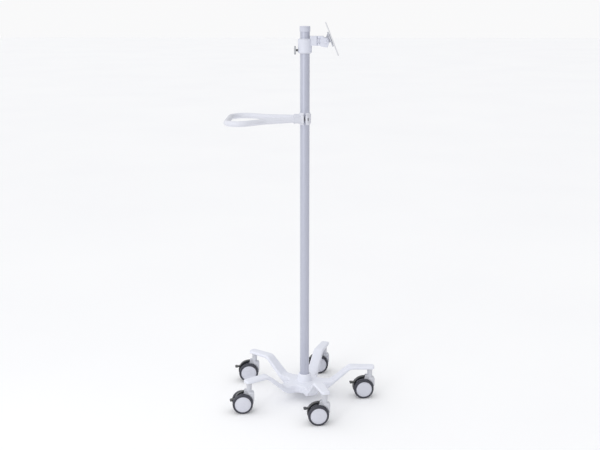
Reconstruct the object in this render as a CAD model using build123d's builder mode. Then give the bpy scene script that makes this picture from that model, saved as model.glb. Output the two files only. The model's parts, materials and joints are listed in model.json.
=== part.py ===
from build123d import *
from math import atan2, cos, degrees, hypot, radians, sin
import os

# Five-arm roll stand: a pole on a cast star base with twin-wheel casters, a push handle loop,
# and a clamped, panning, tilting and turning device plate at the top.
# Frame: millimetres, +Z up, origin on the pole axis at floor level, device plate towards +X,
# handle loop towards -X.

# ---------------------------------------------------------------- driving dimensions
total_height = 1380
seat_gap = 0.02  # radial, parts that never turn on each other
running_gap = 0.05  # radial, parts that turn or slide
end_gap = 0.2  # axial, beside parts that turn

pole_radius = 33.7 / 2
pole_wall = 2
pole_seat_height = 48
cap_radius = 18.5
cap_height = 19
cap_roof = 3
cap_edge = 1.5
plug_height = 30
pole_bolt_radius = 5
pole_head_flat_radius = 8.5
pole_head_height = 6.4
pole_washer_radius = 10.5
pole_washer_thickness = 2
clear_gap = 0.3  # radial, a screw through a plain hole

stem_circle_radius = 247
arm_angles = {"right": 0, "rear": 72, "rear_left": 144, "front_left": 216, "front": 288}
arm_reach = 264
arm_root_half_width = 24.5
arm_tip_half_width = 16.5
arm_tip_corner = 10
arm_web_fillet = 30
arm_edge_fillet = 4
hub_top = 63
hub_bottom = 33
arm_top = 124
arm_thickness = 12
rise_start = 99  # upper face: where an arm starts to climb, and where it is level again
rise_end = 168
under_start = 88  # the same two places on the lower face
under_end = 175
rise_bend = 26
boss_top = 92
boss_top_radius = 23
boss_foot_radius = 29
set_screw_radius = 3
set_screw_height = 79
set_screw_angles = (60, 180)
set_screw_length = 6
set_screw_socket_radius = 1.7
set_screw_socket_depth = 2.5

caster_yaw = 8
caster_trail = 25
wheel_radius = 37.5
rim_radius = 29.5
wheel_inner_face = 8.7
wheel_outer_face = 25.3
rim_dome = 1.7
axle_radius = 4
axle_half_length = 21
housing_half_width = 7
hood_radius = 41
axle_boss_radius = 12
neck_radius = 9.5
neck_top = 108
neck_bottom = 79
neck_block_bottom = 59
hood_floor = wheel_radius - 6
hood_back = -19
hood_step = 75
shroud_half_width = 13.5
shroud_front = 18
shroud_back = -5
shroud_top = 78
shroud_bottom = 43
shroud_corner = 5
tyre_clearance = 1.8
stem_radius = 5.5
stem_bottom = 80
stem_collar_radius = 11
pivot_x = -13
pivot_z = 82
pivot_boss_radius = 6.5
pivot_pin_radius = 2
pedal_thickness = 5
pedal_half_width = 6.4
pedal_web_half_width = 2.2
pedal_press_angle = 12
pedal_band_angles = (84, 135, 180)  # degrees round the axle
pedal_band_radii = (46.2, 43, 38)  # outer face at those angles: it dips in between the tyres
pedal_tab_half_width = 10
pedal_tab_heights = (57.5, 61.5)
pedal_tab_reaches = (57, 67, 77)  # back from the stem: where it leaves the band, flares, ends
pedal_eye_radius = 5
pressed_pedals = ("front_left",)

handle_height = 1059
handle_droop = 1.2
tube_radius = 10
tube_wall = 1.8
loop_reach = 272
loop_half_width = 166
loop_bend = 48
tube_start = (18, 27)
tube_spread = (140, 66)
socket_radius = 13.2
socket_length = 30
clamp_half_height = 22
clamp_radius = 22
clamp_bevel = (8, 4)
clamp_split = 3
clamp_ear_thickness = 7.5
clamp_ear_reach = 38
clamp_ear_half_height = 14
clamp_screw_radius = 3
clamp_screw_offset = 30
clamp_screw_head_radius = 5.2
clamp_screw_head_height = 3.5
clamp_screw_grip = 12

collar_radius = 24.5
liner_bottom = 1287
liner_top = 1338
liner_radius = 19
liner_slot = 3
flange_radius = 21
flange_thickness = 2
knob_height = 1297.5
knob_radius = 15
knob_face = -31.5
knob_thickness = 6.3
knob_screw_radius = 4
knob_lobe_radius = 3.5
knob_lobes = 6

stub_bottom = 1313.5
stub_top = 1346.5
stub_half_width = 13
stub_start = 15
pan_x = 52
pan_barrel_radius = 12.5
pan_bolt_radius = 4
pan_head_radius = 7
pan_head_height = 3.6
pan_head_sink = 3.8
pan_nut_flat_radius = 6.5
pan_nut_depth = 5
stub_end = pan_x - 10.5
barrel_gap = 0.8  # between the stub's hollow end and the knuckle barrel
tongue_radius = 9
tongue_height = 17
slot_reach = 4  # past the pan axis, so that the tongue stays clear at full pan
web_start = pan_x + 6
web_end = pan_x + 13
tongue_bottom = (stub_bottom + stub_top - tongue_height) / 2

tilt_x = 75.5
tilt_z = 1330
tilt_angle = 21.8
tilt_barrel_radius = 10
tilt_barrel_half_length = 14.3
fork_outline = ((-21.5, -18.5), (-21.5, 12), (0.5, 12), (8.5, 5), (8.5, -8), (3, -22.5))
fork_inner = 14.5
fork_outer = 19.5
tilt_bolt_radius = 4

tilt_head_radius = 6.5
tilt_head_height = 3.2
tilt_nut_size = 6  # half across the flats, and the height
fork_corner = 3

disc_radius = 27
seat_block = (26, 17)  # between the tilt barrel and the round seat
gusset_height = 24
gusset_half_width = 4
turn_washer_radius = 20
disc_back = 11.4
disc_front = 16.4
washer_front = 17.4
plate_back = 17.45
plate_thickness = 4
plate_size = 120
plate_corner = 8
plate_screw_radius = 4
plate_screw_head_radius = 7.5
plate_screw_tip = 6
hole_squares = (100, 75)
hole_radius = 2.25

os.makedirs("parts", exist_ok=True)


def save(part, name):
    """Label a finished sub-part and write it as its own STEP file."""
    part.label = name
    export_step(part, f"parts/{name}.step")


def button_screw(plane, shank_radius, length, head_radius, head_height):
    """Button-head screw: head seated on the plane and standing up from it, shank going down."""
    with BuildPart() as screw:
        with BuildSketch(plane):
            Circle(head_radius)
        extrude(amount=head_height)
        fillet(screw.edges().sort_by(lambda e: plane.to_local_coords(e).center().Z)[-1], head_height * 0.6)
        with BuildSketch(plane):
            Circle(shank_radius)
        extrude(amount=-length)
        with BuildSketch(plane.offset(head_height)):
            RegularPolygon(shank_radius * 0.55, 6)
        extrude(amount=-head_height * 0.7, mode=Mode.SUBTRACT)
    return screw.part


def hex_nut(plane, hole_radius, flat_radius, height):
    """Hexagon nut standing up from the plane."""
    with BuildPart() as nut:
        with BuildSketch(plane):
            RegularPolygon(flat_radius, 6, major_radius=False)
            Circle(hole_radius, mode=Mode.SUBTRACT)
        extrude(amount=height)
    return nut.part


# ---------------------------------------------------------------- star base, pole and cap
def star_outline():
    """Plan outline of the five tapered arms with rounded tips and webs."""
    with BuildSketch() as plan:
        for angle in arm_angles.values():
            with BuildSketch(mode=Mode.PRIVATE) as arm:
                with BuildLine():
                    Polyline(
                        (0, arm_root_half_width),
                        (arm_reach, arm_tip_half_width),
                        (arm_reach, -arm_tip_half_width),
                        (0, -arm_root_half_width),
                        close=True,
                    )
                make_face()
            add(arm.sketch, rotation=angle)
        corners = plan.vertices().group_by(lambda v: round(hypot(v.X, v.Y)))
        fillet(corners[-1], arm_tip_corner)
        corners = plan.vertices().group_by(lambda v: round(hypot(v.X, v.Y)))
        fillet(corners[0], arm_web_fillet)
    return plan.sketch


def make_star_base():
    """Gull-wing casting: a revolved low-then-raised band trimmed to the star outline."""
    outline = star_outline()
    rim = arm_reach + 5
    arm_bottom = arm_top - arm_thickness
    with BuildPart() as star_base:
        with BuildSketch(Plane.XZ):
            with BuildLine():
                upper = FilletPolyline(
                    (0, hub_top), (rise_start, hub_top), (rise_end, arm_top), (rim, arm_top), radius=rise_bend
                )
                lower = FilletPolyline(
                    (0, hub_bottom), (under_start, hub_bottom), (under_end, arm_bottom), (rim, arm_bottom),
                    radius=rise_bend,
                )
                Line(upper @ 1, lower @ 1)
                Line(upper @ 0, lower @ 0)
            make_face()
        revolve(axis=Axis.Z)
        add(extrude(outline, amount=arm_top + 1, mode=Mode.PRIVATE), mode=Mode.INTERSECT)
        walls = star_base.faces().filter_by(lambda f: abs(f.normal_at(f.center()).Z) < 0.001)
        rim_edges = walls.edges().filter_by(lambda e: abs(e.tangent_at(0.5).Z) < 0.999)
        fillet(rim_edges, arm_edge_fillet)
        with BuildSketch(Plane.XZ):
            with BuildLine():
                Polyline(
                    (0, hub_top - 1), (boss_foot_radius, hub_top - 1), (boss_top_radius, boss_top - 2),
                    (boss_top_radius - 1.5, boss_top), (0, boss_top),
                    close=True,
                )
            make_face()
        revolve(axis=Axis.Z)
        with BuildSketch(Plane.XY.offset(pole_seat_height)):
            Circle(pole_radius + seat_gap)
        extrude(amount=boss_top, mode=Mode.SUBTRACT)
        with BuildSketch(Plane.XY.offset(hub_bottom - 1)):
            Circle(pole_bolt_radius + clear_gap)
        extrude(amount=pole_seat_height, mode=Mode.SUBTRACT)
        with BuildSketch(Plane.XY.offset(hub_bottom - 1)):
            with PolarLocations(stem_circle_radius, len(arm_angles)):
                Circle(stem_radius + seat_gap)
        extrude(amount=arm_top - hub_bottom - 1, mode=Mode.SUBTRACT)
        for angle in set_screw_angles:
            direction = Vector(cos(radians(angle)), sin(radians(angle)), 0)
            with BuildSketch(Plane(origin=(0, 0, set_screw_height), z_dir=direction)):
                Circle(set_screw_radius + seat_gap)
            extrude(amount=boss_foot_radius + 5, mode=Mode.SUBTRACT)
    return star_base.part


def make_set_screws():
    """Two socket set screws that lock the pole in the boss."""
    with BuildPart() as set_screws:
        for angle in set_screw_angles:
            direction = Vector(cos(radians(angle)), sin(radians(angle)), 0)
            seat = Vector(0, 0, set_screw_height) + direction * (pole_radius + 0.15)
            with BuildSketch(Plane(origin=seat, z_dir=direction)):
                Circle(set_screw_radius)
            extrude(amount=set_screw_length)
            with BuildSketch(Plane(origin=seat + direction * set_screw_length, z_dir=direction)):
                RegularPolygon(set_screw_socket_radius, 6)
            extrude(amount=-set_screw_socket_depth, mode=Mode.SUBTRACT)
    return set_screws.part


def make_pole():
    """Round steel tube from the hub seat to the cap."""
    with BuildPart() as pole:
        with BuildSketch(Plane.XY.offset(pole_seat_height)):
            Circle(pole_radius)
            Circle(pole_radius - pole_wall, mode=Mode.SUBTRACT)
        extrude(amount=total_height - cap_roof - pole_seat_height)
    return pole.part


def make_pole_cap():
    """Plastic cap: a skirt around the pole top under a flat roof."""
    with BuildPart() as pole_cap:
        with BuildSketch(Plane.XY.offset(total_height - cap_height)):
            Circle(cap_radius)
        extrude(amount=cap_height)
        fillet(pole_cap.edges().group_by(Axis.Z)[-1], cap_edge)
        with BuildSketch(Plane.XY.offset(total_height - cap_height)):
            Circle(pole_radius + seat_gap)
        extrude(amount=cap_height - cap_roof, mode=Mode.SUBTRACT)
    return pole_cap.part


def make_pole_plug():
    """Threaded steel plug pressed into the foot of the pole."""
    with BuildPart() as pole_plug:
        with BuildSketch(Plane.XY.offset(pole_seat_height)):
            Circle(pole_radius - pole_wall - seat_gap)
            Circle(pole_bolt_radius + seat_gap, mode=Mode.SUBTRACT)
        extrude(amount=plug_height)
    return pole_plug.part


def make_pole_washer():
    """Flat washer under the head of the pole bolt."""
    with BuildPart() as pole_washer:
        with BuildSketch(Plane.XY.offset(hub_bottom)):
            Circle(pole_washer_radius)
            Circle(pole_bolt_radius + clear_gap, mode=Mode.SUBTRACT)
        extrude(amount=-pole_washer_thickness)
    return pole_washer.part


def make_pole_bolt():
    """Hexagon bolt up through the hub into the pole plug."""
    head_top = hub_bottom - pole_washer_thickness
    bolt_end = pole_seat_height + plug_height - 4
    with BuildPart() as pole_bolt:
        with BuildSketch(Plane.XY.offset(head_top)):
            RegularPolygon(pole_head_flat_radius, 6, major_radius=False)
        extrude(amount=-pole_head_height)
        with BuildSketch(Plane.XY.offset(head_top)):
            Circle(pole_bolt_radius)
        extrude(amount=bolt_end - head_top)
    return pole_bolt.part


def make_caster_stems():
    """Five caster stems, each with the collar that bears on the underside of its arm."""
    with BuildPart() as stems:
        with BuildSketch(Plane.XY.offset(stem_bottom)):
            with PolarLocations(stem_circle_radius, len(arm_angles)):
                Circle(stem_radius)
        extrude(amount=arm_top - 2 - stem_bottom)
        with BuildSketch(Plane.XY.offset(neck_top + end_gap)):
            with PolarLocations(stem_circle_radius, len(arm_angles)):
                Circle(stem_collar_radius)
        extrude(amount=arm_top - arm_thickness - neck_top - end_gap)
    return stems.part


# ---------------------------------------------------------------- casters
def caster_side_plane(angle):
    """Upright plane through a caster: x away from the trailing wheels, y up, origin on the floor."""
    stem = (stem_circle_radius * cos(radians(angle)), stem_circle_radius * sin(radians(angle)), 0)
    yaw = radians(caster_yaw)
    return Plane(origin=stem, x_dir=(cos(yaw), sin(yaw), 0), z_dir=(sin(yaw), -cos(yaw), 0))


def axle_plane(side):
    """Plane through the axle: x along the axle, y up."""
    centre = side.from_local_coords((-caster_trail, wheel_radius, 0))
    return Plane(origin=centre, x_dir=-side.z_dir, z_dir=side.x_dir)


def make_housing(side):
    """Central caster body: shroud round the wheels, axle boss, brake pivot cheeks and swivel neck."""
    with BuildPart() as housing:
        with BuildSketch(side) as shroud:
            with BuildLine():
                Polyline(
                    (shroud_back, shroud_bottom), (shroud_front, shroud_bottom), (shroud_front, shroud_top),
                    (shroud_back, shroud_top),
                    close=True,
                )
            make_face()
            fillet(shroud.vertices().group_by(lambda v: round(hypot(v.X, v.Y), 1))[-1], shroud_corner)
        extrude(amount=shroud_half_width, both=True)
        rounded = housing.edges().filter_by(lambda e: abs(e.tangent_at(0.5).Z) > 0.99)
        fillet(rounded.sort_by(lambda e: side.to_local_coords(e.center()).X)[-2:], shroud_corner)
        with BuildSketch(side):
            with Locations((-caster_trail, wheel_radius)):
                Circle(wheel_radius + tyre_clearance)
        extrude(amount=shroud_half_width + 1, both=True, mode=Mode.SUBTRACT)
        with BuildSketch(side):
            with Locations((-caster_trail, wheel_radius)):
                Circle(hood_radius)
            with BuildLine():
                Polyline(
                    (-caster_trail - 5, hood_floor), (hood_radius, hood_floor), (hood_radius, neck_top),
                    (hood_back, neck_top), (hood_back, hood_step),
                    (-caster_trail - 5, wheel_radius + axle_boss_radius),
                    close=True,
                )
            make_face(mode=Mode.INTERSECT)
            with Locations((-caster_trail, wheel_radius)):
                Circle(axle_boss_radius)
            with Locations((pivot_x, pivot_z)):
                Circle(pivot_boss_radius)
            with Locations((0, (neck_bottom + neck_block_bottom) / 2)):
                Rectangle(2 * neck_radius, neck_bottom - neck_block_bottom)
        extrude(amount=housing_half_width, both=True)
        with BuildSketch(Plane(origin=side.origin).offset(neck_bottom - 3)):
            Circle(neck_radius)
        extrude(amount=neck_top - neck_bottom + 3)
        with BuildSketch(side):
            with Locations((pivot_x, pivot_z)):
                Circle(pivot_boss_radius - 0.5)
            with BuildLine():
                Polyline((-30, 74), (pivot_x, 74), (pivot_x, 90), (-30, 90), close=True)
            make_face()
        extrude(amount=pedal_web_half_width + clear_gap, both=True, mode=Mode.SUBTRACT)
        with BuildSketch(side):
            with Locations((-caster_trail, wheel_radius)):
                Circle(axle_radius + seat_gap)
            with Locations((pivot_x, pivot_z)):
                Circle(pivot_pin_radius + seat_gap)
        extrude(amount=housing_half_width + 1, both=True, mode=Mode.SUBTRACT)
        with BuildSketch(Plane(origin=side.origin).offset(stem_bottom - 1)):
            Circle(stem_radius + running_gap)
        extrude(amount=neck_top, mode=Mode.SUBTRACT)
    return housing.part


def make_pins(side):
    """Wheel axle and brake pivot pin of one caster."""
    with BuildPart() as pins:
        with BuildSketch(side):
            with Locations((-caster_trail, wheel_radius)):
                Circle(axle_radius)
        extrude(amount=axle_half_length, both=True)
        with BuildSketch(side):
            with Locations((pivot_x, pivot_z)):
                Circle(pivot_pin_radius)
        extrude(amount=housing_half_width + 0.8, both=True)
    return pins.part


def make_rim(side, hand):
    """Moulded wheel centre: bearing bore, inner dish and a closed, slightly domed outer face."""
    axle = axle_plane(side)
    bore = axle_radius + running_gap
    dome_flat = 4
    with BuildPart() as rim:
        with BuildSketch(axle):
            with BuildLine():
                Polyline(
                    (hand * (wheel_outer_face + rim_dome), dome_flat),
                    (hand * (wheel_outer_face + rim_dome), 0),
                    (hand * (axle_half_length + 1), 0),
                    (hand * (axle_half_length + 1), bore), (hand * wheel_inner_face, bore),
                    (hand * wheel_inner_face, 9), (hand * 14, 11), (hand * 14, 24),
                    (hand * wheel_inner_face, 26), (hand * wheel_inner_face, rim_radius),
                    (hand * (wheel_outer_face - 1), rim_radius), (hand * wheel_outer_face, rim_radius - 1),
                    (hand * wheel_outer_face, rim_radius - 2.5),
                    (hand * (wheel_outer_face - 0.6), rim_radius - 3),
                )
                ThreePointArc(
                    (hand * (wheel_outer_face - 0.6), rim_radius - 3),
                    (hand * (wheel_outer_face + rim_dome * 0.75), rim_radius / 2),
                    (hand * (wheel_outer_face + rim_dome), dome_flat),
                )
            make_face()
        revolve(axis=Axis(axle.origin, axle.x_dir))
    return rim.part


def make_tyre(side, hand):
    """Grey rubber tread ring with rounded shoulders."""
    axle = axle_plane(side)
    with BuildPart() as tyre:
        with BuildSketch(axle) as section:
            middle = hand * (wheel_inner_face + wheel_outer_face) / 2
            with Locations((middle, (rim_radius + wheel_radius) / 2)):
                Rectangle(wheel_outer_face - wheel_inner_face, wheel_radius - rim_radius)
            fillet(section.vertices().sort_by(Axis.Y)[-2:], 4)
        revolve(axis=Axis(axle.origin, axle.x_dir))
    return tyre.part


def band_points(axle, depth):
    """Three points along the pedal band, a depth in from its outer face."""
    points = []
    for angle, radius in zip(pedal_band_angles, pedal_band_radii):
        reach = radius - depth
        points.append((axle[0] + reach * cos(radians(angle)), axle[1] + reach * sin(radians(angle))))
    return points


def make_pedal(side, press):
    """Brake pedal: curved band over the wheels, pivot eye and a flat toe tab, turned by press degrees."""
    turned = side.x_dir * cos(radians(press)) + side.y_dir * sin(radians(press))
    pivot = Plane(origin=side.from_local_coords((pivot_x, pivot_z, 0)), x_dir=turned, z_dir=side.z_dir)
    axle = (-caster_trail - pivot_x, wheel_radius - pivot_z)
    tab_bottom, tab_top = [height - pivot_z for height in pedal_tab_heights]
    tab_neck, tab_flare, tab_end = [-reach - pivot_x for reach in pedal_tab_reaches]
    with BuildPart() as pedal:
        with BuildSketch(pivot):
            with BuildLine():
                outside = ThreePointArc(*band_points(axle, 0))
                inside = ThreePointArc(*band_points(axle, pedal_thickness))
                Line(outside @ 0, inside @ 0)
                Line(outside @ 1, inside @ 1)
            make_face()
            with BuildLine():
                Polyline(
                    (tab_neck, tab_top + 1.5), (tab_flare, tab_top),
                    (tab_flare, tab_bottom), (tab_neck, tab_bottom),
                    close=True,
                )
            make_face()
        extrude(amount=pedal_half_width, both=True)
        with BuildSketch(pivot):
            with Locations(((tab_flare + tab_end) / 2, (tab_top + tab_bottom) / 2)):
                Rectangle(tab_flare - tab_end, tab_top - tab_bottom)
        extrude(amount=pedal_tab_half_width, both=True)
        flare = pedal.edges().filter_by(lambda e: abs(e.tangent_at(0.5).dot(pivot.y_dir)) > 0.99)
        fillet(flare.sort_by(lambda e: pivot.to_local_coords(e.center()).X)[:2], 4)
        with BuildSketch(pivot):
            Circle(pedal_eye_radius)
            with BuildLine():
                Polyline((0, 4.9), (-16, 1.4), (-14, -3), (0, -4.9), close=True)
            make_face()
        extrude(amount=pedal_web_half_width, both=True)
        with BuildSketch(pivot):
            Circle(pivot_pin_radius + running_gap)
        extrude(amount=pedal_half_width, both=True, mode=Mode.SUBTRACT)
    return pedal.part


def make_caster(name, angle):
    """All the parts of the caster under one arm."""
    side = caster_side_plane(angle)
    save(make_housing(side), f"{name}_caster_housing")
    save(make_pins(side), f"{name}_caster_pins")
    for hand, hand_name in ((1, "left"), (-1, "right")):
        save(make_rim(side, hand), f"{name}_wheel_{hand_name}")
        save(make_tyre(side, hand), f"{name}_tyre_{hand_name}")
    press = pedal_press_angle if name in pressed_pedals else 0
    save(make_pedal(side, press), f"{name}_brake_pedal")


# ---------------------------------------------------------------- push handle
droop = radians(handle_droop)
handle_plane = Plane(
    origin=(0, 0, handle_height), x_dir=(-cos(droop), 0, -sin(droop)), z_dir=(-sin(droop), 0, cos(droop))
)
tube_lean = degrees(atan2(tube_spread[1] - tube_start[1], tube_spread[0] - tube_start[0]))


def make_handle_loop():
    """One bent tube: both ends leave the clamp, spread, and join in a wide rounded end."""
    with BuildPart() as handle_loop:
        with BuildLine(handle_plane) as path:
            FilletPolyline(
                tube_start, tube_spread, (loop_reach, loop_half_width), (loop_reach, -loop_half_width),
                (tube_spread[0], -tube_spread[1]), (tube_start[0], -tube_start[1]),
                radius=loop_bend,
            )
        with BuildSketch(Plane(origin=path.wire() @ 0, z_dir=path.wire() % 0)):
            Circle(tube_radius)
            Circle(tube_radius - tube_wall, mode=Mode.SUBTRACT)
        sweep()
    return handle_loop.part


def tube_plane(hand, back):
    """Plane across one tube end, a distance back towards the pole from where the tube starts."""
    lean = radians(tube_lean)
    along = handle_plane.x_dir * cos(lean) + handle_plane.y_dir * (hand * sin(lean))
    start = handle_plane.from_local_coords((tube_start[0], hand * tube_start[1], 0))
    return Plane(origin=start - along * back, z_dir=along)


def half_sleeve(hand):
    """Half of the clamp sleeve on one side of the split, with its two screw ears."""
    level = Plane.XY.offset(handle_height - clamp_half_height)
    with BuildPart() as sleeve:
        with BuildSketch(level):
            Circle(clamp_radius)
        extrude(amount=2 * clamp_half_height)
        chamfer(sleeve.edges().filter_by(GeomType.CIRCLE), *clamp_bevel)
        with BuildSketch(Plane.YZ):
            with Locations((0, handle_height)):
                RectangleRounded(2 * clamp_ear_reach, 2 * clamp_ear_half_height, 5)
        extrude(amount=clamp_split + clamp_ear_thickness, both=True)
        with BuildSketch(level):
            with Locations((-hand * 50, 0)):
                Rectangle(100 + 2 * clamp_split, 200)
        extrude(amount=2 * clamp_half_height, mode=Mode.SUBTRACT)
    return sleeve.part


def make_clamp_saddle():
    """Pole side half of the handle clamp, with the two sockets that hold the tube ends."""
    with BuildPart() as saddle:
        add(half_sleeve(-1))
        for hand in (1, -1):
            with BuildSketch(tube_plane(hand, 8)):
                Circle(socket_radius)
            extrude(amount=socket_length)
            with BuildSketch(tube_plane(hand, 0)):
                Circle(tube_radius + seat_gap)
            extrude(amount=socket_length, mode=Mode.SUBTRACT)
        with BuildSketch(Plane.XY.offset(handle_height - 2 * clamp_half_height)):
            Circle(pole_radius + seat_gap)
        extrude(amount=4 * clamp_half_height, mode=Mode.SUBTRACT)
        with BuildSketch(Plane.YZ.offset(-clamp_screw_grip - 0.5)):
            with Locations((clamp_screw_offset, handle_height), (-clamp_screw_offset, handle_height)):
                Circle(clamp_screw_radius + seat_gap)
        extrude(amount=20, mode=Mode.SUBTRACT)
    return saddle.part


def make_clamp_cover():
    """Outer half of the handle clamp."""
    with BuildPart() as cover:
        add(half_sleeve(1))
        with BuildSketch(Plane.XY.offset(handle_height - 2 * clamp_half_height)):
            Circle(pole_radius + seat_gap)
        extrude(amount=4 * clamp_half_height, mode=Mode.SUBTRACT)
        with BuildSketch(Plane.YZ):
            with Locations((clamp_screw_offset, handle_height), (-clamp_screw_offset, handle_height)):
                Circle(clamp_screw_radius + clear_gap)
        extrude(amount=40, mode=Mode.SUBTRACT)
    return cover.part


def make_handle_screws():
    """Two screws that pull the clamp halves together."""
    seat = clamp_split + clamp_ear_thickness
    with BuildPart() as screws:
        for hand in (1, -1):
            head = Plane(origin=(seat, hand * clamp_screw_offset, handle_height), z_dir=(1, 0, 0))
            add(
                button_screw(
                    head, clamp_screw_radius, seat + clamp_screw_grip, clamp_screw_head_radius,
                    clamp_screw_head_height,
                )
            )
    return screws.part


# ---------------------------------------------------------------- sliding device mount
def make_clamp_liner():
    """Split plastic bush between pole and collar, with a lip at each end."""
    with BuildPart() as liner:
        with BuildSketch(Plane.XY.offset(liner_bottom)):
            Circle(liner_radius)
        extrude(amount=liner_top - liner_bottom)
        for level in (liner_bottom, liner_top - flange_thickness):
            with BuildSketch(Plane.XY.offset(level)):
                Circle(flange_radius)
            extrude(amount=flange_thickness)
        with BuildSketch(Plane.XY.offset(liner_bottom)):
            Circle(pole_radius + running_gap)
            with Locations((0, flange_radius)):
                Rectangle(liner_slot, 2 * flange_radius)
        extrude(amount=liner_top - liner_bottom, mode=Mode.SUBTRACT)
    return liner.part


def make_mount_collar():
    """Clamp collar with the stub arm and the tongue of the pan knuckle."""
    bottom = liner_bottom + flange_thickness + end_gap
    top = liner_top - flange_thickness - end_gap
    with BuildPart() as collar:
        with BuildSketch(Plane.XY.offset(bottom)):
            Circle(collar_radius)
        extrude(amount=top - bottom)
        fillet(collar.edges().filter_by(GeomType.CIRCLE), 1.5)
        with BuildSketch(Plane.XY.offset(stub_bottom)):
            with Locations(((stub_start + stub_end) / 2, 0)):
                Rectangle(stub_end - stub_start, 2 * stub_half_width)
            with Locations((pan_x, 0)):
                Circle(pan_barrel_radius + barrel_gap, mode=Mode.SUBTRACT)
        extrude(amount=stub_top - stub_bottom)
        with BuildSketch(Plane.XY.offset(tongue_bottom)):
            with Locations(((stub_start + pan_x) / 2, 0)):
                Rectangle(pan_x - stub_start, 2 * tongue_radius)
            with Locations((pan_x, 0)):
                Circle(tongue_radius)
        extrude(amount=tongue_height)
        with BuildSketch(Plane.XY.offset(bottom)):
            Circle(liner_radius + running_gap)
        extrude(amount=top - bottom, mode=Mode.SUBTRACT)
        with BuildSketch(Plane.XY.offset(top)):
            Circle(flange_radius + 0.6)
        extrude(amount=stub_top - top, mode=Mode.SUBTRACT)
        with BuildSketch(Plane.XY.offset(stub_bottom)):
            with Locations((pan_x, 0)):
                Circle(pan_bolt_radius + running_gap)
        extrude(amount=stub_top - stub_bottom, mode=Mode.SUBTRACT)
        with BuildSketch(Plane.YZ.offset(-collar_radius - 1)):
            with Locations((0, knob_height)):
                Circle(knob_screw_radius + running_gap)
        extrude(amount=10, mode=Mode.SUBTRACT)
    return collar.part


def make_clamp_knob():
    """Lobed plastic knob."""
    with BuildPart() as knob:
        with BuildSketch(Plane(origin=(knob_face, 0, knob_height), z_dir=(-1, 0, 0))):
            Circle(knob_radius - 2)
            with PolarLocations(knob_radius - knob_lobe_radius, knob_lobes):
                Circle(knob_lobe_radius)
        extrude(amount=knob_thickness)
        fillet(knob.faces().sort_by(Axis.X)[0].edges(), 1)
        with BuildSketch(Plane.YZ.offset(knob_face - knob_thickness + 2)):
            with Locations((0, knob_height)):
                Circle(knob_screw_radius + seat_gap)
        extrude(amount=knob_thickness, mode=Mode.SUBTRACT)
    return knob.part


def make_clamp_screw():
    """Steel clamp screw between the knob and the liner."""
    tip = -liner_radius - 0.15
    end = knob_face - knob_thickness + 2
    with BuildPart() as clamp_screw:
        with BuildSketch(Plane(origin=(tip, 0, knob_height), z_dir=(-1, 0, 0))):
            Circle(knob_screw_radius)
        extrude(amount=tip - end)
        chamfer(clamp_screw.edges().sort_by(Axis.X)[-1], 0.8)
    return clamp_screw.part


def make_pan_link():
    """Pan knuckle: slotted upright barrel, cross web and the two tilt fork cheeks."""
    with BuildPart() as pan_link:
        with BuildSketch(Plane.XZ) as cheek:
            with BuildLine():
                Polyline(*[(tilt_x + x, tilt_z + z) for x, z in fork_outline], close=True)
            make_face()
            fillet(cheek.vertices(), fork_corner)
        extrude(amount=fork_outer, both=True)
        with BuildSketch(Plane.XZ):
            with Locations((tilt_x, tilt_z)):
                Rectangle(4 * disc_radius, 4 * disc_radius)
        extrude(amount=fork_inner, both=True, mode=Mode.SUBTRACT)
        with BuildSketch(Plane.XY.offset(stub_bottom)):
            with Locations((pan_x, 0)):
                Circle(pan_barrel_radius)
            with Locations(((pan_x + web_end) / 2, 0)):
                Rectangle(web_end - pan_x, 2 * pan_barrel_radius)
            with Locations(((web_start + web_end) / 2, 0)):
                Rectangle(web_end - web_start, 2 * fork_outer)
        extrude(amount=stub_top - stub_bottom)
        with BuildSketch(Plane.XY.offset(tongue_bottom - end_gap)):
            with Locations((pan_x, 0)):
                Circle(tongue_radius + barrel_gap)
            with Locations((pan_x + slot_reach - pan_barrel_radius, 0)):
                Rectangle(2 * pan_barrel_radius, 2 * pan_barrel_radius + 2)
        extrude(amount=tongue_height + 2 * end_gap, mode=Mode.SUBTRACT)
        with BuildSketch(Plane.XY.offset(stub_bottom)):
            with Locations((pan_x, 0)):
                Circle(pan_bolt_radius + seat_gap)
        extrude(amount=stub_top - stub_bottom, mode=Mode.SUBTRACT)
        with BuildSketch(Plane.XY.offset(stub_top - pan_head_sink)):
            with Locations((pan_x, 0)):
                Circle(pan_head_radius + clear_gap)
        extrude(amount=pan_head_sink, mode=Mode.SUBTRACT)
        with BuildSketch(Plane.XY.offset(stub_bottom)):
            with Locations((pan_x, 0)):
                RegularPolygon(pan_nut_flat_radius + 0.1, 6, major_radius=False)
        extrude(amount=pan_nut_depth, mode=Mode.SUBTRACT)
        with BuildSketch(Plane.XZ):
            with Locations((tilt_x, tilt_z)):
                Circle(tilt_bolt_radius + seat_gap)
        extrude(amount=fork_outer + 1, both=True, mode=Mode.SUBTRACT)
    return pan_link.part


face_direction = Vector(cos(radians(tilt_angle)), 0, sin(radians(tilt_angle)))
tilt_point = Vector(tilt_x, 0, tilt_z)


def plate_plane(distance):
    """Plane square to the plate's facing direction, at a distance from the tilt axis."""
    return Plane(origin=tilt_point + face_direction * distance, x_dir=(0, 1, 0), z_dir=face_direction)


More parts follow.
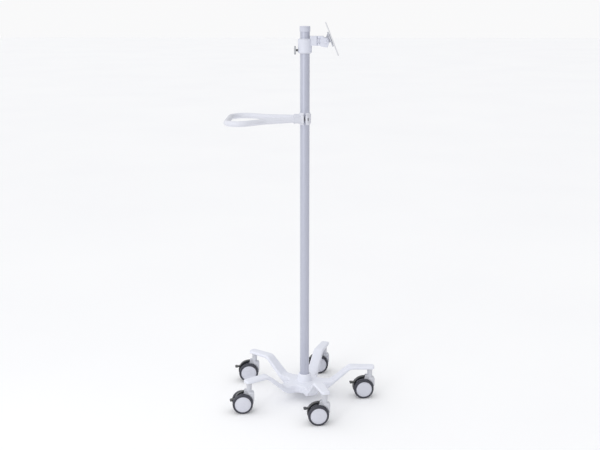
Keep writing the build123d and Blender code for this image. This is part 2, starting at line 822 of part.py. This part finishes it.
def make_tilt_bracket():
    """Tilt barrel between the fork cheeks, carrying the round plate seat and a gusset."""
    with BuildPart() as bracket:
        with BuildSketch(Plane.XZ):
            with Locations((tilt_x, tilt_z)):
                Circle(tilt_barrel_radius)
        extrude(amount=tilt_barrel_half_length, both=True)
        with BuildSketch(plate_plane(disc_back)):
            Circle(disc_radius)
        extrude(amount=disc_front - disc_back)
        fillet(bracket.edges().filter_by(GeomType.CIRCLE).filter_by(lambda e: e.radius > 20), 1.2)
        with BuildSketch(plate_plane(disc_back + 1)):
            Rectangle(*seat_block)
        extrude(amount=-disc_back - 1)
        with BuildSketch(Plane(origin=tilt_point, x_dir=face_direction, z_dir=(0, -1, 0))):
            with BuildLine():
                Polyline((0, 9), (disc_back + 1, gusset_height), (disc_back + 1, 6), (0, 6), close=True)
            make_face()
        extrude(amount=gusset_half_width, both=True)
        with BuildSketch(Plane.XZ):
            with Locations((tilt_x, tilt_z)):
                Circle(tilt_bolt_radius + running_gap)
        extrude(amount=tilt_barrel_half_length + 1, both=True, mode=Mode.SUBTRACT)
        with BuildSketch(plate_plane(plate_screw_tip - 0.5)):
            Circle(plate_screw_radius + seat_gap)
        extrude(amount=disc_front, mode=Mode.SUBTRACT)
    return bracket.part


def make_turn_washer():
    """Plastic friction washer between the bracket and the plate."""
    with BuildPart() as washer:
        with BuildSketch(plate_plane(disc_front)):
            Circle(turn_washer_radius)
            Circle(plate_screw_radius + 0.1, mode=Mode.SUBTRACT)
        extrude(amount=washer_front - disc_front)
    return washer.part


def make_mount_plate():
    """Device plate with the 75 mm and 100 mm square hole patterns and a countersunk centre bore."""
    with BuildPart() as mount_plate:
        with BuildSketch(plate_plane(plate_back)):
            RectangleRounded(plate_size, plate_size, plate_corner)
        extrude(amount=plate_thickness)
        outer = mount_plate.faces().filter_by(
            lambda f: abs(f.normal_at(f.center()).dot(face_direction)) > 0.99
        )
        chamfer(outer.edges(), 0.6)
        with BuildSketch(plate_plane(plate_back)):
            for square in hole_squares:
                with GridLocations(square, square, 2, 2):
                    Circle(hole_radius)
            Circle(plate_screw_radius + running_gap)
        extrude(amount=plate_thickness, mode=Mode.SUBTRACT)
        sink_radius = plate_screw_head_radius + 0.15
        sink_depth = sink_radius - plate_screw_radius - running_gap
        front = plate_back + plate_thickness
        with BuildSketch(plate_plane(front)):
            Circle(sink_radius)
        with BuildSketch(plate_plane(front - sink_depth)):
            Circle(plate_screw_radius + running_gap)
        loft(mode=Mode.SUBTRACT)
    return mount_plate.part


def make_plate_screw():
    """Countersunk centre screw on which the plate turns."""
    front = plate_back + plate_thickness - 0.1
    cone_depth = plate_screw_head_radius - 0.1 - plate_screw_radius
    with BuildPart() as plate_screw:
        with BuildSketch(plate_plane(front)):
            Circle(plate_screw_head_radius - 0.1)
        with BuildSketch(plate_plane(front - cone_depth)):
            Circle(plate_screw_radius)
        loft()
        with BuildSketch(plate_plane(front - cone_depth)):
            Circle(plate_screw_radius)
        extrude(amount=-(front - cone_depth - plate_screw_tip))
        with BuildSketch(plate_plane(front)):
            RegularPolygon(2.9, 6)
        extrude(amount=-2.5, mode=Mode.SUBTRACT)
    return plate_screw.part


# ---------------------------------------------------------------- write every part
save(make_star_base(), "star_base")
save(make_caster_stems(), "caster_stems")
save(make_set_screws(), "hub_set_screws")
save(make_pole(), "pole")
save(make_pole_cap(), "pole_cap")
save(make_pole_plug(), "pole_plug")
save(make_pole_washer(), "pole_washer")
save(make_pole_bolt(), "pole_bolt")

for arm_name, arm_angle in arm_angles.items():
    make_caster(arm_name, arm_angle)

save(make_handle_loop(), "handle_loop")
save(make_clamp_saddle(), "handle_clamp_saddle")
save(make_clamp_cover(), "handle_clamp_cover")
save(make_handle_screws(), "handle_clamp_screws")

save(make_clamp_liner(), "mount_clamp_liner")
save(make_mount_collar(), "mount_collar")
save(make_clamp_knob(), "mount_clamp_knob")
save(make_clamp_screw(), "mount_clamp_screw")
save(make_pan_link(), "pan_link")
pan_top = Plane(origin=(pan_x, 0, stub_top - pan_head_sink))
pan_low = Plane(origin=(pan_x, 0, stub_bottom + pan_nut_depth), z_dir=(0, 0, -1))
pan_bolt_length = stub_top - stub_bottom - pan_head_sink - 0.5
save(button_screw(pan_top, pan_bolt_radius, pan_bolt_length, pan_head_radius, pan_head_height), "pan_bolt")
save(hex_nut(pan_low, pan_bolt_radius + seat_gap, pan_nut_flat_radius, pan_nut_depth - 0.2), "pan_nut")
save(make_tilt_bracket(), "tilt_bracket")
tilt_near = Plane(origin=(tilt_x, -fork_outer, tilt_z), z_dir=(0, -1, 0))
tilt_far = Plane(origin=(tilt_x, fork_outer, tilt_z), z_dir=(0, 1, 0))
tilt_bolt_length = 2 * fork_outer + tilt_nut_size
tilt_bolt = button_screw(tilt_near, tilt_bolt_radius, tilt_bolt_length, tilt_head_radius, tilt_head_height)
save(tilt_bolt, "tilt_bolt")
save(hex_nut(tilt_far, tilt_bolt_radius + seat_gap, tilt_nut_size, tilt_nut_size), "tilt_nut")
save(make_turn_washer(), "plate_turn_washer")
save(make_mount_plate(), "mount_plate")
save(make_plate_screw(), "plate_centre_screw")
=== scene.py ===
import json
from math import cos, pi, radians, sin

import bmesh
import bpy
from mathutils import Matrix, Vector


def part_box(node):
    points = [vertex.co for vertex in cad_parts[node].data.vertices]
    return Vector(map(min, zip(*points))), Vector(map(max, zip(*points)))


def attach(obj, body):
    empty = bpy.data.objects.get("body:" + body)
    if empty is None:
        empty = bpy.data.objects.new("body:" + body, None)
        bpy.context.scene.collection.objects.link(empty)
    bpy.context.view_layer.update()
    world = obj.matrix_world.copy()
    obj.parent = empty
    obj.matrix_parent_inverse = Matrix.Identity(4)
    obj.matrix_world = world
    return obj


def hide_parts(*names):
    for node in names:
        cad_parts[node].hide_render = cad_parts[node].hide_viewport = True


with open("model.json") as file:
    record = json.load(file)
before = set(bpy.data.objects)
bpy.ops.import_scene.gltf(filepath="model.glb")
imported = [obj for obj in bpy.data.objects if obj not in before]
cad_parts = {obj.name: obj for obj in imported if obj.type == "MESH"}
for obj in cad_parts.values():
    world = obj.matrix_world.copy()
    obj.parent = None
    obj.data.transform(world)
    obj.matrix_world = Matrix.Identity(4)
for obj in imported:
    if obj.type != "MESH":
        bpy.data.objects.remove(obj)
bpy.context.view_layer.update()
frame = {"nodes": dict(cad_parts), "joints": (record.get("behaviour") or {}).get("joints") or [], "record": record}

# Looks of a rolling floor stand: powder-coated cast base, coated tubes, moulded casters.
# Metres, in the frame of the CAD model. Cast and moulded parts are replaced by softened meshes;
# turned parts (tyres, wheel centres) are built by turning a profile about their own axle.

MM = 0.001
WELD_DISTANCE = 0.005 * MM
AXIS_WELD_DISTANCE = 0.001 * MM
nodes = frame["nodes"]
bodies = frame["record"]["behaviour"]["bodies"]
joints = {joint["name"]: joint for joint in frame["joints"]}
body_of_node = {node: body for body, members in bodies.items() for node in members}
slot_of_node = {part["node"]: part["material_slot"] for part in frame["record"]["subparts"]}
CASTERS = ("right", "rear", "rear_left", "front_left", "front")


# ---------------------------------------------------------------- materials
RANGE_INPUTS = ("From Min", "From Max", "To Min", "To Max")


class Graph:
    """Short names for adding and joining shader nodes."""

    def __init__(self, name):
        self.material = bpy.data.materials.new(name)
        self.material.use_nodes = True
        self.tree = self.material.node_tree
        self.tree.nodes.clear()
        output = self.add("ShaderNodeOutputMaterial")
        self.shader = self.add("ShaderNodeBsdfPrincipled")
        self.join(self.shader.outputs["BSDF"], output.inputs["Surface"])
        self.place = self.add("ShaderNodeTexCoord").outputs["Object"]

    def add(self, kind, **settings):
        node = self.tree.nodes.new(kind)
        for key, value in settings.items():
            setattr(node, key, value)
        return node

    def join(self, source, target):
        self.tree.links.new(source, target)

    def noise(self, scale, detail=2.0, stretch=None):
        """Noise in object space, with features about 1 / scale metres across."""
        texture = self.add("ShaderNodeTexNoise")
        texture.inputs["Scale"].default_value = scale
        texture.inputs["Detail"].default_value = detail
        place = self.place
        if stretch:
            mapping = self.add("ShaderNodeMapping")
            mapping.inputs["Scale"].default_value = stretch
            self.join(place, mapping.inputs["Vector"])
            place = mapping.outputs["Vector"]
        self.join(place, texture.inputs["Vector"])
        return texture.outputs["Fac"]

    def span(self, value, low, high, out_low, out_high):
        """Value mapped from one range to another, held at the ends."""
        node = self.add("ShaderNodeMapRange")
        self.join(value, node.inputs["Value"])
        for key, number in zip(RANGE_INPUTS, (low, high, out_low, out_high)):
            node.inputs[key].default_value = number
        return node.outputs["Result"]

    def times(self, first, second):
        node = self.add("ShaderNodeMath", operation="MULTIPLY")
        self.join(first, node.inputs[0])
        self.join(second, node.inputs[1])
        return node.outputs["Value"]

    def blend(self, factor, first, second):
        """Mix of two colours; each is a colour or another node's output."""
        node = self.add("ShaderNodeMix", data_type="RGBA")
        self.join(factor, node.inputs["Factor"])
        for source, target in ((first, node.inputs[6]), (second, node.inputs[7])):
            if isinstance(source, tuple):
                target.default_value = (*source, 1)
            else:
                self.join(source, target)
        return node.outputs[2]


def tint(colour, amount):
    return tuple(min(1.0, part * amount) for part in colour)


def finish_material(
    name, colour, rough, metal=0.0, shade=0.95, grain=900, grain_depth=0.05, wear=1.06, wear_share=0.5,
    coat=0.0, stretch=None, rough_spread=0.08,
):
    """Procedural finish: broad tone drift, fine mottling, surface grain, rubbed edges, and painted shade in
    concave hollows.

    shade darkens the drift, grain is the texture's fineness, wear multiplies the colour on convex edges."""
    graph = Graph(name)
    shader = graph.shader
    drift = graph.span(graph.noise(5, 3), 0.35, 0.65, 0, 1)
    mottle = graph.span(graph.noise(90, 4), 0.35, 0.7, 0, 0.45)
    base = graph.blend(drift, colour, tint(colour, shade))
    base = graph.blend(mottle, base, tint(colour, shade * 0.985))
    pointed = graph.add("ShaderNodeNewGeometry").outputs["Pointiness"]
    edge = graph.span(pointed, 0.53, 0.62, 0, wear_share)
    # painted shade: concave hollows and creases (low pointiness) are darkened towards 0.8 of the colour
    painted_hollow_shade = graph.span(pointed, 0.49, 0.40, 0, 0.35)
    patchy = graph.span(graph.noise(160, 5), 0.4, 0.6, 0.25, 1)
    base = graph.blend(graph.times(edge, patchy), base, tint(colour, wear))
    # painted shade: blends the hollows towards the darker 0.8 colour, over tone, mottling and rubbed edges
    base = graph.blend(painted_hollow_shade, base, tint(colour, 0.8))
    graph.join(base, shader.inputs["Base Color"])
    gloss = graph.span(graph.noise(40, 4), 0.3, 0.7, rough - rough_spread / 2, rough + rough_spread / 2)
    graph.join(gloss, shader.inputs["Roughness"])
    bump = graph.add("ShaderNodeBump")
    bump.inputs["Strength"].default_value = grain_depth
    bump.inputs["Distance"].default_value = 0.4 * MM
    graph.join(graph.noise(grain, 3, stretch), bump.inputs["Height"])
    graph.join(bump.outputs["Normal"], shader.inputs["Normal"])
    shader.inputs["Metallic"].default_value = metal
    shader.inputs["Coat Weight"].default_value = coat
    shader.inputs["Coat Roughness"].default_value = 0.15
    return graph.material


UPRIGHT_BRUSH = (1, 1, 0.03)  # stretches grain along the pole
MATERIALS = {
    "white_casting": finish_material(
        "white_casting", (0.76, 0.775, 0.85), 0.42, grain=700, grain_depth=0.12, coat=0.15,
    ),
    "white_metal": finish_material(
        "white_metal", (0.66, 0.675, 0.755), 0.4, grain=1100, grain_depth=0.1, coat=0.1,
    ),
    "bracket_metal": finish_material("bracket_metal", (0.55, 0.56, 0.61), 0.42, grain=1100, grain_depth=0.12),
    "plate_metal": finish_material("plate_metal", (0.66, 0.665, 0.69), 0.38, grain=1200, grain_depth=0.08),
    "pole_coat": finish_material(
        "pole_coat", (0.47, 0.485, 0.57), 0.36, metal=0.3, shade=0.98, wear=1.0, grain=900, grain_depth=0.008,
        stretch=UPRIGHT_BRUSH, coat=0.15, rough_spread=0.02,
    ),
    "handle_coat": finish_material(
        "handle_coat", (0.68, 0.69, 0.75), 0.36, grain=1000, grain_depth=0.05, coat=0.2,
    ),
    "white_plastic": finish_material("white_plastic", (0.68, 0.69, 0.75), 0.45, grain=1400, grain_depth=0.1),
    "caster_plastic": finish_material(
        "caster_plastic", (0.6, 0.61, 0.66), 0.48, grain=1400, grain_depth=0.14,
    ),
    "wheel_disc": finish_material("wheel_disc", (0.64, 0.65, 0.72), 0.5, grain=1500, grain_depth=0.2),
    "grey_plastic": finish_material("grey_plastic", (0.42, 0.43, 0.45), 0.5, grain=1400, grain_depth=0.15),
    "dark_plastic": finish_material(
        "dark_plastic", (0.05, 0.05, 0.055), 0.5, wear=2, grain=1400, grain_depth=0.15,
    ),
    "brake_plastic": finish_material(
        "brake_plastic", (0.022, 0.024, 0.026), 0.28, shade=0.8, wear=2.6,
        grain=1300, grain_depth=0.08, coat=0.3,
    ),
    "tyre": finish_material(
        "tyre", (0.045, 0.046, 0.062), 0.62, shade=0.8, wear=1.9,
        wear_share=0.35, grain=1100, grain_depth=0.3, rough_spread=0.16,
    ),
    "steel": finish_material(
        "steel", (0.6, 0.6, 0.62), 0.3, metal=1.0, shade=0.9,
        grain=900, grain_depth=0.06, stretch=UPRIGHT_BRUSH,
    ),
    "dark_steel": finish_material(
        "dark_steel", (0.13, 0.13, 0.138), 0.45, metal=0.3, wear=1.6, grain=1200,
    ),
    "cap_plastic": finish_material("cap_plastic", (0.56, 0.575, 0.66), 0.42, grain=1400, grain_depth=0.1),
}


# ---------------------------------------------------------------- mesh helpers
def new_piece(name, mesh, node):
    """A shown piece that stands for a CAD node and moves with its body."""
    piece = bpy.data.objects.new(name, mesh)
    bpy.context.scene.collection.objects.link(piece)
    mesh.materials.clear()
    mesh.materials.append(MATERIALS[slot_of_node[node]])
    mesh.shade_smooth()
    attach(piece, body_of_node[node])
    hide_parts(node)
    return piece


def softened(node, voxel, rounds):
    """Copy of a CAD node with its edges softened, as a casting or a moulding has them."""
    work = bpy.data.objects.new("work", nodes[node].data.copy())
    bpy.context.scene.collection.objects.link(work)
    welder = bmesh.new()
    welder.from_mesh(work.data)
    bmesh.ops.remove_doubles(welder, verts=welder.verts, dist=WELD_DISTANCE)
    welder.to_mesh(work.data)
    welder.free()
    remesh = work.modifiers.new("remesh", "REMESH")
    remesh.mode = "VOXEL"
    remesh.voxel_size = voxel
    smooth = work.modifiers.new("smooth", "SMOOTH")
    smooth.factor = 0.5
    smooth.iterations = rounds
    shape = work.evaluated_get(bpy.context.evaluated_depsgraph_get())
    mesh = bpy.data.meshes.new_from_object(shape)
    bpy.data.objects.remove(work)
    return new_piece(f"{node}_soft", mesh, node)


def turned(name, node, centre, axis, profile, segments=96):
    """Closed shape turned about an axle from (distance along the axle, radius) points.

    Points on the axle itself are welded into one, and the flat faces between two of them are left out."""
    axis = Vector(axis).normalized()
    across = axis.orthogonal().normalized()
    up = axis.cross(across)
    shape = bmesh.new()
    rings = []
    for step in range(segments):
        angle = 2 * pi * step / segments
        out = across * cos(angle) + up * sin(angle)
        rings.append([shape.verts.new(centre + axis * along + out * radius) for along, radius in profile])
    count = len(profile)
    for step in range(segments):
        here, after = rings[step], rings[(step + 1) % segments]
        for point in range(count):
            following = (point + 1) % count
            if here[point].co != after[point].co or here[following].co != after[following].co:
                shape.faces.new((here[point], here[following], after[following], after[point]))
    bmesh.ops.remove_doubles(shape, verts=shape.verts, dist=AXIS_WELD_DISTANCE)
    bmesh.ops.recalc_face_normals(shape, faces=shape.faces)
    mesh = bpy.data.meshes.new(name)
    shape.to_mesh(mesh)
    shape.free()
    return new_piece(name, mesh, node)


def arc(centre_along, centre_radius, size, start, end, steps=6):
    """Points on a quarter round in a profile, angles in degrees from the axle direction."""
    points = []
    for step in range(steps + 1):
        angle = radians(start + (end - start) * step / steps)
        points.append((centre_along + size * cos(angle), centre_radius + size * sin(angle)))
    return points


# ---------------------------------------------------------------- wheels
INNER_FACE, OUTER_FACE = 8.7 * MM, 25.3 * MM
RIM_RADIUS, TYRE_RADIUS = 29.5 * MM, 37.5 * MM
BORE_RADIUS = 4.05 * MM
DOME = 1.7 * MM


def tyre_profile():
    """Tread ring: round shoulders, slightly crowned tread and a fine mould line round the middle."""
    shoulder = 3.6 * MM
    crown = 0.25 * MM
    line = 0.22 * MM
    middle = (INNER_FACE + OUTER_FACE) / 2
    reach = TYRE_RADIUS - shoulder - crown
    points = [(INNER_FACE, RIM_RADIUS), (OUTER_FACE, RIM_RADIUS)]
    points += arc(OUTER_FACE - shoulder, reach, shoulder, 0, 90)
    points += [
        (middle + 2 * line, TYRE_RADIUS - 0.05 * MM), (middle + line, TYRE_RADIUS),
        (middle - line, TYRE_RADIUS), (middle - 2 * line, TYRE_RADIUS - 0.05 * MM),
    ]
    points += arc(INNER_FACE + shoulder, reach, shoulder, 90, 180)
    return points


def rim_profile():
    """Wheel centre: rolled lip, ring groove, shallow dome and a raised centre cap."""
    lip = 0.9 * MM
    groove_radius, groove_depth = 26.4 * MM, 0.7 * MM
    cap_radius, cap_step = 7 * MM, 0.35 * MM
    web_face, bore_end = 14 * MM, 22 * MM
    hub_edge, web_start, web_end, rim_start = 9 * MM, 11 * MM, 24 * MM, 26 * MM
    points = [(INNER_FACE, BORE_RADIUS), (INNER_FACE, hub_edge), (web_face, web_start), (web_face, web_end)]
    points += [(INNER_FACE, rim_start), (INNER_FACE, RIM_RADIUS)]
    points += [(OUTER_FACE - lip, RIM_RADIUS)]
    points += arc(OUTER_FACE - lip, RIM_RADIUS - lip, lip, 90, 0)[1:]
    points += [
        (OUTER_FACE, groove_radius + 1.1 * MM), (OUTER_FACE - groove_depth, groove_radius + 0.7 * MM),
        (OUTER_FACE - groove_depth, groove_radius), (OUTER_FACE, groove_radius - 0.5 * MM),
    ]
    steps = 8
    for step in range(1, steps + 1):
        share = step / steps
        radius = groove_radius - 0.5 * MM - (groove_radius - 0.5 * MM - cap_radius) * share
        points.append((OUTER_FACE + (DOME - cap_step) * (1 - (1 - share) ** 2), radius))
    face = OUTER_FACE + DOME
    points += [(face - 0.08 * MM, cap_radius - 0.4 * MM), (face, cap_radius - 0.9 * MM), (face, 0)]
    points += [(bore_end, 0), (bore_end, BORE_RADIUS)]
    return points


for caster in CASTERS:
    for hand in ("left", "right"):
        spin = joints[f"{caster}_{hand}_spin"]
        centre = Vector(spin["pos_m"])
        axis = Vector(spin["axis"])
        low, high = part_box(f"{caster}_tyre_{hand}")
        if ((low + high) / 2 - centre).dot(axis) < 0:
            axis = -axis
        turned(f"{caster}_tread_{hand}", f"{caster}_tyre_{hand}", centre, axis, tyre_profile())
        turned(f"{caster}_disc_{hand}", f"{caster}_wheel_{hand}", centre, axis, rim_profile())

# ---------------------------------------------------------------- cast and moulded parts
BASE_SOFTNESS = (1.9 * MM, 8)  # voxel size, and rounds of smoothing
HOUSING_SOFTNESS = (0.75 * MM, 5)
CLAMP_SOFTNESS = (0.8 * MM, 5)
FINE_SOFTNESS = (0.6 * MM, 4)

softened("star_base", *BASE_SOFTNESS)
for caster in CASTERS:
    softened(f"{caster}_caster_housing", *HOUSING_SOFTNESS)
    softened(f"{caster}_brake_pedal", *FINE_SOFTNESS)
for node in ("handle_clamp_saddle", "handle_clamp_cover", "mount_collar"):
    softened(node, *CLAMP_SOFTNESS)
for node in ("pan_link", "tilt_bracket", "mount_clamp_knob", "pole_cap"):
    softened(node, *FINE_SOFTNESS)

# ---------------------------------------------------------------- carried-over parts
BEVELLED = (
    "mount_plate", "pole_bolt", "pan_bolt", "pan_nut", "tilt_bolt", "tilt_nut", "handle_clamp_screws",
)
SHARP_ANGLE, BEVEL_ANGLE = radians(32), radians(40)
BEVEL_WIDTH = 0.25 * MM
for node, part in nodes.items():
    part.data.materials.clear()
    part.data.materials.append(MATERIALS[slot_of_node[node]])
    part.data.shade_smooth()
    part.data.set_sharp_from_angle(angle=SHARP_ANGLE)
    if node in BEVELLED:
        bevel = part.modifiers.new("edge", "BEVEL")
        bevel.width = BEVEL_WIDTH
        bevel.segments = 2
        bevel.limit_method = "ANGLE"
        bevel.angle_limit = BEVEL_ANGLE


# ---------------------------------------------------------------- stage, lights and camera
FLOOR_REACH = 30
STRIP_PLACE, STRIP_TARGET = (-1.3, -2.2, 1.4), (0, 0, 0.95)
STRIP_SIZE, STRIP_POWER = (0.4, 2.2), 10
SHADOW_LEVEL, LIGHT_LEVEL = 0.15, 1.3  # brightness of the surround away from and towards the light
LIGHT_FROM = Vector((-0.6, -0.25, 0.76)).normalized()
CAMERA_PLACE = (0.0536, -3.3, 1.487)
CAMERA_PITCH, CAMERA_YAW = radians(13.91), radians(-1.229)


def make_floor():
    graph = Graph("pale_floor")
    tone = graph.span(graph.noise(0.8, 3), 0.3, 0.7, 0, 1)
    graph.join(graph.blend(tone, (0.95, 0.95, 0.955), (0.93, 0.93, 0.94)), graph.shader.inputs["Base Color"])
    graph.shader.inputs["Roughness"].default_value = 0.85
    corners = [(-1, -1, 0), (1, -1, 0), (1, 1, 0), (-1, 1, 0)]
    corners = [(FLOOR_REACH * x, FLOOR_REACH * y, z) for x, y, z in corners]
    mesh = bpy.data.meshes.new("floor")
    mesh.from_pydata(corners, [], [(0, 1, 2, 3)])
    mesh.materials.append(graph.material)
    floor = bpy.data.objects.new("floor", mesh)
    bpy.context.scene.collection.objects.link(floor)


def soft_light(name, place, target, size, power):
    lamp = bpy.data.lights.new(name, "AREA")
    lamp.shape = "RECTANGLE"
    lamp.size, lamp.size_y = size
    lamp.energy = power
    holder = bpy.data.objects.new(name, lamp)
    bpy.context.scene.collection.objects.link(holder)
    holder.location = place
    holder.rotation_euler = (Vector(target) - Vector(place)).to_track_quat("-Z", "Y").to_euler()


make_floor()
soft_light("strip_left", STRIP_PLACE, STRIP_TARGET, STRIP_SIZE, STRIP_POWER)


def make_world():
    """Studio surround: even white to the camera, brighter from the upper left for everything lit by it."""
    world = bpy.data.worlds.new("studio")
    world.use_nodes = True
    tree = world.node_tree
    tree.nodes.clear()
    direction = tree.nodes.new("ShaderNodeTexCoord").outputs["Generated"]
    facing = tree.nodes.new("ShaderNodeVectorMath")
    facing.operation = "DOT_PRODUCT"
    facing.inputs[1].default_value = LIGHT_FROM
    tree.links.new(direction, facing.inputs[0])
    level = tree.nodes.new("ShaderNodeMapRange")
    for key, number in zip(RANGE_INPUTS, (-1, 1, SHADOW_LEVEL, LIGHT_LEVEL)):
        level.inputs[key].default_value = number
    tree.links.new(facing.outputs["Value"], level.inputs["Value"])
    lighting = tree.nodes.new("ShaderNodeBackground")
    lighting.inputs["Color"].default_value = (0.985, 0.99, 1.0, 1)
    tree.links.new(level.outputs["Result"], lighting.inputs["Strength"])
    backdrop = tree.nodes.new("ShaderNodeBackground")
    backdrop.inputs["Color"].default_value = (0.95, 0.95, 0.955, 1)
    chooser = tree.nodes.new("ShaderNodeMixShader")
    tree.links.new(tree.nodes.new("ShaderNodeLightPath").outputs["Is Camera Ray"], chooser.inputs["Fac"])
    tree.links.new(lighting.outputs["Background"], chooser.inputs[1])
    tree.links.new(backdrop.outputs["Background"], chooser.inputs[2])
    output = tree.nodes.new("ShaderNodeOutputWorld")
    tree.links.new(chooser.outputs["Shader"], output.inputs["Surface"])
    bpy.context.scene.world = world


make_world()
bpy.context.scene.view_settings.view_transform = "Standard"

camera_data = bpy.data.cameras.new("camera")
camera_data.lens = 55.9
camera_data.sensor_width = 36
camera_data.clip_end = 100
camera = bpy.data.objects.new("camera", camera_data)
camera.location = CAMERA_PLACE
level = cos(CAMERA_PITCH)
forward = Vector((sin(CAMERA_YAW) * level, cos(CAMERA_YAW) * level, -sin(CAMERA_PITCH)))
camera.rotation_euler = forward.to_track_quat("-Z", "Y").to_euler()
bpy.context.scene.collection.objects.link(camera)
bpy.context.scene.camera = camera
